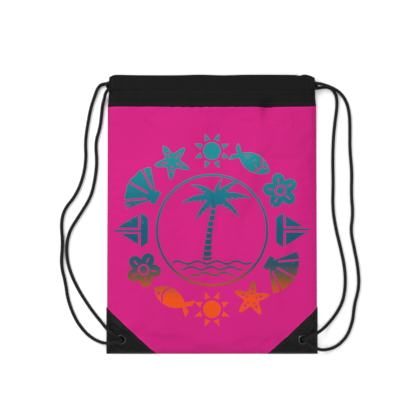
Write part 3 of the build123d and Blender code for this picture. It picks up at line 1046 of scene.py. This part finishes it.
def stitches(name, line, thread_radius=0.28 * MM, pitch=3.2 * MM, length=2.5 * MM):
    """Sew a row of stitches along a line that lies on the cloth; each one dips at its ends."""
    line = np.array(line)
    count = int((lengths_along(line)[-1] - length) / pitch)
    rings, sides = 6, 6
    points, faces = [], []
    for number in range(count):
        middle = points_along(line, number * pitch + length * np.linspace(0, 1, rings))
        forward = middle[-1] - middle[0]
        forward /= np.linalg.norm(forward)
        across = np.cross(forward, (0, 0, 1))
        across /= np.linalg.norm(across)
        up = np.cross(across, forward)
        faces += tube_faces(rings, sides, len(points))
        for ring in range(rings):
            bulge = math.sin(math.pi * (ring + 0.35) / (rings - 0.3))
            radius = thread_radius * (0.45 + 0.55 * bulge)
            centre = middle[ring] + up * thread_radius * (1.1 * bulge - 0.6)
            for corner in range(sides):
                angle = 2 * math.pi * corner / sides
                points.append(centre + radius * (math.cos(angle) * across + math.sin(angle) * up))
    return new_piece(name, points, faces, BLACK_THREAD)


def make_collar_stitches():
    """Sew the collar to the panel, close the casings, and hem the casings' ends."""
    collar_tree = surface_tree(bpy.data.objects["front_collar"])
    reach = BAND_HALF - 2.5 * MM
    for name, y in (
        ("collar_seam_stitches_1", SEAM_Y + 1.8 * MM),
        ("collar_seam_stitches_2", SEAM_Y + 5.0 * MM),
        ("casing_stitches", FOLD_Y),
    ):
        line = [(x, y, height_on(collar_tree, x, y)) for x in np.linspace(-reach, reach, 700)]
        row = stitches(name, line)
        if y == FOLD_Y:
            hinge_with_casing(row)
        else:
            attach(row, "bag")
    for side, side_name in ((-1, "left"), (1, "right")):
        x = side * (CASING_HALF - 4 * MM)
        places = np.linspace(FOLD_Y + 5 * MM, MOUTH_Y - 4 * MM, 60)
        line = [(x, y, height_on(collar_tree, x, y)) for y in places]
        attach(stitches(f"{side_name}_casing_hem_stitches", line), "front_casing")


# ---------------------------------------------------------------- eyelets and knots

def lathe(name, x, y, outline, material, sides=96):
    """Turn a closed outline of radii and heights about an upright axis."""
    points, faces = [], []
    count = len(outline)
    for turn in range(sides):
        angle = 2 * math.pi * turn / sides
        for radius, z in outline:
            points.append((x + radius * math.cos(angle), y + radius * math.sin(angle), z))
    for turn in range(sides):
        here, there = turn * count, (turn + 1) % sides * count
        for corner in range(count):
            after = (corner + 1) % count
            faces.append((here + corner, there + corner, there + after, here + after))
    return new_piece(name, points, faces, material)


def make_eyelet(side, side_name):
    """Make an eyelet: a domed flange rolled into its barrel, and the washer that clamps it."""
    patch_top = EYELET_BED_Z + PATCH_LIFT
    hole, outside = 4.9 * MM, EYELET_RADIUS
    crown = 1.3 * MM
    wall = 0.5 * MM
    barrel_end = patch_top - 3.3 * MM
    dome = []
    for step in range(13):
        angle = math.pi * step / 12
        radius = (hole + outside) / 2 + (outside - hole) / 2 * math.cos(angle)
        dome.append((radius, patch_top + crown * math.sin(angle) ** 0.8))
    roll = [
        (hole, barrel_end + 0.6 * MM),
        (hole + 0.5 * MM, barrel_end),
        (hole + 1.6 * MM, barrel_end + 0.2 * MM),
        (hole + 1.7 * MM, barrel_end + 0.7 * MM),
        (hole + wall, barrel_end + 0.9 * MM),
        (hole + wall, patch_top - 0.3 * MM),
        (outside - 0.2 * MM, patch_top - 0.3 * MM),
    ]
    eyelet = lathe(f"{side_name}_eyelet_ring", side * EYELET_X, EYELET_Y, dome + roll, GUNMETAL)
    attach(eyelet, "bag")
    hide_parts(f"{side_name}_eyelet")
    low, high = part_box(f"{side_name}_eyelet_washer")
    inner, outer = hole + 0.6 * MM, (high[0] - low[0]) / 2
    outline = []
    for step in range(24):
        angle = 2 * math.pi * step / 24
        swell_x = math.copysign(abs(math.cos(angle)) ** 0.6, math.cos(angle))
        swell_z = math.copysign(abs(math.sin(angle)) ** 0.6, math.sin(angle))
        radius = (inner + outer) / 2 + (outer - inner) / 2 * swell_x
        outline.append((radius, (low[2] + high[2]) / 2 + (high[2] - low[2]) / 2 * swell_z))
    washer = lathe(f"{side_name}_washer_ring", side * EYELET_X, EYELET_Y, outline, GUNMETAL)
    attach(washer, "bag")
    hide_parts(f"{side_name}_eyelet_washer")


def make_knot(side, side_name):
    """Make the overhand knot that both ends of a cord are tied in, behind the front cloth."""
    low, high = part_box(f"{side_name}_knot")
    knot_radius = (high[0] - low[0]) / 2
    thread = 2.05 * MM
    middle_z = 5.2 * MM
    loop = (knot_radius - thread) / 3
    turns = np.linspace(0, 2 * math.pi, 140)
    line = np.stack(
        [
            side * EYELET_X + loop * (np.sin(turns) + 2 * np.sin(2 * turns)),
            EYELET_Y + loop * (np.cos(turns) - 2 * np.cos(2 * turns)),
            middle_z - 1.35 * MM * np.sin(3 * turns),
        ],
        axis=1,
    )
    knot, _ = rope(f"{side_name}_tied_knot", line, radius=thread)
    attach(knot, "bag")
    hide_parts(f"{side_name}_knot")


# ---------------------------------------------------------------- beach badge, dyed on the front
# Each shape is a function of places in millimetres that is negative inside it.

def disc(x, y, radius):
    """A filled circle."""
    return np.hypot(x, y) - radius


def hoop(x, y, radius, width):
    """A circular line."""
    return np.abs(np.hypot(x, y) - radius) - width / 2


def joined(*shapes):
    """Everything that is inside any shape."""
    return np.minimum.reduce(shapes)


def without(shape, *holes):
    """A shape with others cut out of it."""
    return np.maximum.reduce([shape, *[-hole for hole in holes]])


def sun(x, y):
    """A disc in a ring of eight pointed rays."""
    turn = np.mod(np.arctan2(y, x), math.pi / 4) - math.pi / 8
    distance = np.hypot(x, y)
    ray = np.maximum(distance * np.abs(turn) - 0.42 * (24.5 - distance), 15 - distance)
    return joined(disc(x, y, 11.5), ray)


def starfish(x, y):
    """Five rounded arms with a dot in each."""
    angle = np.arctan2(x, y)
    turn = np.mod(angle + math.pi / 5, 2 * math.pi / 5) - math.pi / 5
    distance = np.hypot(x, y)
    body = distance - (9.5 + 14.5 * np.exp(-(np.abs(turn) / 0.30) ** 1.6))
    along, aside = distance * np.cos(turn), distance * np.sin(turn)
    return without(body, disc(along - 12.5, aside, 1.9), disc(along - 7, aside, 1.5))


def shell(x, y):
    """A scallop: a fan of ribs above a small hinge."""
    y = y + 19
    distance = np.hypot(x, y)
    angle = np.arctan2(x, y)
    rim = distance - (40 + 1.6 * np.abs(np.cos(angle * 5.2)))
    fan = np.maximum(rim, distance * (np.abs(angle) - 0.88))
    rib = 2 * math.pi / 10.4
    groove_turn = np.mod(angle + rib / 2, rib) - rib / 2
    grooves = np.maximum(np.abs(distance * np.sin(groove_turn)) - 1.25, 13 - distance)
    hinge = np.maximum(np.abs(x) - 9, np.abs(y - 1) - 3.6)
    return joined(without(fan, grooves), hinge)


def fish(x, y):
    """A leaf-shaped body, a forked tail, an eye and gill."""
    body = np.maximum(disc(x - 4, y + 17, 29), disc(x - 4, y - 17, 29))
    tail = np.maximum(np.abs(y) - 0.95 * (-13 - x), -x - 27)
    notch = np.abs(y) - 0.7 * (-20.5 - x)
    gill = np.maximum(np.abs(np.hypot(x - 2, y) - 12) - 1.1, 9 - x)
    return without(joined(body, without(tail, notch)), disc(x - 19, y - 2.6, 2), gill)


def sailboat(x, y):
    """A hull under two sails."""
    hull = np.maximum(np.abs(x) - 19.5 - 0.75 * (y + 15), np.abs(y + 15) - 4.8)
    mast = np.maximum(np.abs(x + 1) - 1.3, np.abs(y - 7) - 17.5)
    main_sail = np.maximum(np.maximum(3 - x, -7 - y), x - 2 - 0.6 * (23 - y))
    jib = np.maximum(np.maximum(x + 4.6, -7 - y), -4 - 0.62 * (17 - y) - x)
    return joined(hull, mast, main_sail, jib)


def blossom(x, y):
    """Five petals round a ring."""
    angle = np.arctan2(x, y)
    distance = np.hypot(x, y)
    petals = distance - (12.5 + 10.5 * np.abs(np.cos(2.5 * angle)) ** 0.7)
    turn = np.mod(angle + math.pi / 5, 2 * math.pi / 5) - math.pi / 5
    vein = np.maximum(np.abs(distance * np.sin(turn)) - 0.9, np.abs(distance - 13.5) - 3.5)
    return without(petals, hoop(x, y, 6.3, 2.4), vein)


def turned(x, y, centre, degrees):
    """Places seen from a centre, in axes turned by an angle."""
    angle = math.radians(degrees)
    away_x, away_y = x - centre[0], y - centre[1]
    return (
        away_x * math.cos(angle) + away_y * math.sin(angle),
        -away_x * math.sin(angle) + away_y * math.cos(angle),
    )


def frond(x, y, degrees, reach):
    """A palm leaf that rises at an angle and droops, with a ragged lower edge."""
    along, aside = turned(x, y, (0, 0), degrees)
    share = np.clip(along / reach, 0, 1)
    middle = reach * (0.16 * share - 0.62 * share**2)
    blade = 0.23 * reach * np.sin(math.pi * share**0.75) ** 0.8
    rag = 0.42 + 0.58 * np.mod(share * 6 + 0.4, 1)
    edges = np.maximum(aside - middle - 0.28 * blade, middle - rag * blade - aside)
    return np.maximum(edges, np.maximum(1 - along, along - reach))


def palm(x, y):
    """A leaning ringed trunk, three fronds to each side, one upright, and two nuts."""
    share = np.clip(y / PALM_HEIGHT, 0, 1)
    bend = 15 * share**1.7
    half = 4.0 + 3.4 * (1 - share) ** 2
    trunk = np.maximum(np.abs(x - bend) - half, np.maximum(-y, y - PALM_HEIGHT))
    rings = np.abs(np.mod(y - 0.3 * np.abs(x - bend), 10) - 5) - 0.8
    shapes = [without(trunk, np.maximum(rings, y - PALM_HEIGHT + 9))]
    crown_x, crown_y = x - 15, y - PALM_HEIGHT + 2
    for side in (-1, 1):
        for degrees, reach in ((58, 46), (22, 54), (-18, 46)):
            shapes.append(frond(side * crown_x, crown_y, degrees + 4 * side, reach))
    shapes.append(frond(crown_x, crown_y, 98, 34))
    shapes.append(disc(crown_x + 5, crown_y + 5, 4.4))
    shapes.append(disc(crown_x - 5, crown_y + 6, 4.4))
    return joined(*shapes)


def waves(x, y):
    """Rows of rolling water, each shorter than the one above."""
    rows = []
    for row in range(WAVE_ROWS):
        line = np.abs(y + row * WAVE_GAP - 2.4 * np.sin(x / 5.2 + 2 * row)) - 1.7
        rows.append(np.maximum(line, np.abs(x) - 66 + 15 * row))
    return joined(*rows)


def badge(x, y):
    """The whole badge: twelve beach things evenly round a roundel that holds a palm above waves."""
    x, y = x - BADGE_CENTRE[0], y - BADGE_CENTRE[1]
    icons = (sun, fish, blossom, sailboat, shell, starfish) * 2
    shapes = []
    for number, icon in enumerate(icons):
        degrees = 90 - 360 * number / len(icons)
        angle = math.radians(degrees)
        place = (BADGE_RADIUS * math.cos(angle), BADGE_RADIUS * math.sin(angle))
        local_x, local_y = turned(x, y, place, degrees - 90)
        shapes.append(icon(local_x / ICON_SCALE, local_y / ICON_SCALE) * ICON_SCALE)
    shapes.append(hoop(x, y, ROUNDEL_RADIUS, ROUNDEL_LINE))
    tree = palm(x - PALM_FOOT[0], y - PALM_FOOT[1])
    water = waves(x, y - PALM_FOOT[1] + 4)
    shapes.append(joined(tree, without(water, tree - 2)))
    return joined(*shapes)


def filled_cells(values, xs, ys):
    """Turn a grid of values into the flat faces that cover where it is negative."""
    points, faces, seen = [], [], {}

    def corner(row, column):
        key = (row, column)
        if key not in seen:
            seen[key] = len(points)
            points.append((xs[column], ys[row]))
        return seen[key]

    def crossing(first, second):
        key = (first, second) if first < second else (second, first)
        if key not in seen:
            (row_a, column_a), (row_b, column_b) = key
            value_a, value_b = values[row_a, column_a], values[row_b, column_b]
            share = min(max(value_a / (value_a - value_b), 0.02), 0.98)
            seen[key] = len(points)
            x = xs[column_a] + share * (xs[column_b] - xs[column_a])
            y = ys[row_a] + share * (ys[row_b] - ys[row_a])
            points.append((x, y))
        return seen[key]

    inside = values < 0
    near = inside[:-1, :-1] | inside[1:, :-1] | inside[:-1, 1:] | inside[1:, 1:]
    for row, column in np.argwhere(near):
        ring = [(row, column), (row, column + 1), (row + 1, column + 1), (row + 1, column)]
        face = []
        for here, there in zip(ring, ring[1:] + ring[:1]):
            if inside[here]:
                face.append(corner(*here))
            if inside[here] != inside[there]:
                face.append(crossing(here, there))
        faces.append(face)
    return points, faces


def make_badge(front_tree):
    """Lay the badge's dye on the front cloth."""
    xs = BADGE_CENTRE[0] + spaced(-BADGE_REACH, BADGE_REACH, BADGE_CELL)
    ys = BADGE_CENTRE[1] + spaced(-BADGE_REACH, BADGE_REACH, BADGE_CELL)
    x, y = np.meshgrid(xs, ys)
    flat_points, faces = filled_cells(badge(x, y), xs, ys)
    points = []
    for px, py in flat_points:
        px, py = px * MM, py * MM
        points.append((px, py, height_on(front_tree, px, py) + DYE_PROUD))
    dye = new_piece("front_print", points, faces, DYE)
    thicken(dye, 2 * DYE_PROUD)
    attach(dye, "bag")


# ---------------------------------------------------------------- camera, light and floor

def make_camera():
    """Look straight down at the bag through a long lens, the mouth at the picture's top."""
    lens = bpy.data.cameras.new("camera")
    lens.lens = 100
    lens.sensor_width = 36
    picture_width = 0.6965      # metres of the scene across the picture, 10 mm above the floor
    camera = bpy.data.objects.new("camera", lens)
    camera.location = (-0.0067, 0.0109, picture_width * lens.lens / lens.sensor_width + 0.01)
    bpy.context.collection.objects.link(camera)
    bpy.context.scene.camera = camera


def make_lights():
    """Soft studio light from all round, a little stronger from the upper left."""
    scene = bpy.context.scene
    world = bpy.data.worlds.new("studio")
    world.use_nodes = True
    background = world.node_tree.nodes["Background"]
    background.inputs["Color"].default_value = (1, 1, 1, 1)
    background.inputs["Strength"].default_value = 0.7
    scene.world = world
    for name, place, size, power in (
        ("key", (-1.1, 1.0, 1.5), 1.4, 34),
        ("fill", (1.2, -0.6, 1.6), 1.6, 12),
    ):
        light = bpy.data.lights.new(name, "AREA")
        light.size = size
        light.energy = power
        lamp = bpy.data.objects.new(name, light)
        lamp.location = place
        lamp.rotation_mode = "QUATERNION"
        lamp.rotation_quaternion = (-Vector(place)).to_track_quat("-Z", "Y")
        bpy.context.collection.objects.link(lamp)
    scene.view_settings.view_transform = "Standard"


def make_floor():
    """A plain white floor."""
    nodes = Nodes("floor_white", (0.97, 0.97, 0.97), 0.9, specular=0.1)
    nodes.tint((0.97, 0.97, 0.97), nodes.spread(nodes.noise(3.0), 0.995, 1.0))
    half = 4.0
    corners = [(-half, -half, 0), (half, -half, 0), (half, half, 0), (-half, half, 0)]
    floor = new_piece("floor", corners, [(0, 1, 2, 3)], nodes.material)


# ---------------------------------------------------------------- the whole scene

front_strand("left_inner_strand", LEFT_INNER_ROUTE)
back_strand("left_outer_strand", LEFT_OUTER_ROUTE)
front_strand("right_outer_strand", RIGHT_OUTER_ROUTE)
back_strand("right_inner_strand", RIGHT_INNER_ROUTE)
held_cord(-1, "left", LOWER_LANE_Y, UPPER_LANE_Y)
held_cord(1, "right", UPPER_LANE_Y, LOWER_LANE_Y)

front_surface_tree = make_front_cloth()
make_back_cloth()
make_collars()
make_collar_stitches()
for bag_side, bag_side_name in ((-1, "left"), (1, "right")):
    make_patch(bag_side, bag_side_name, front_surface_tree)
    make_eyelet(bag_side, bag_side_name)
    make_knot(bag_side, bag_side_name)
make_badge(front_surface_tree)

make_camera()
make_lights()
make_floor()
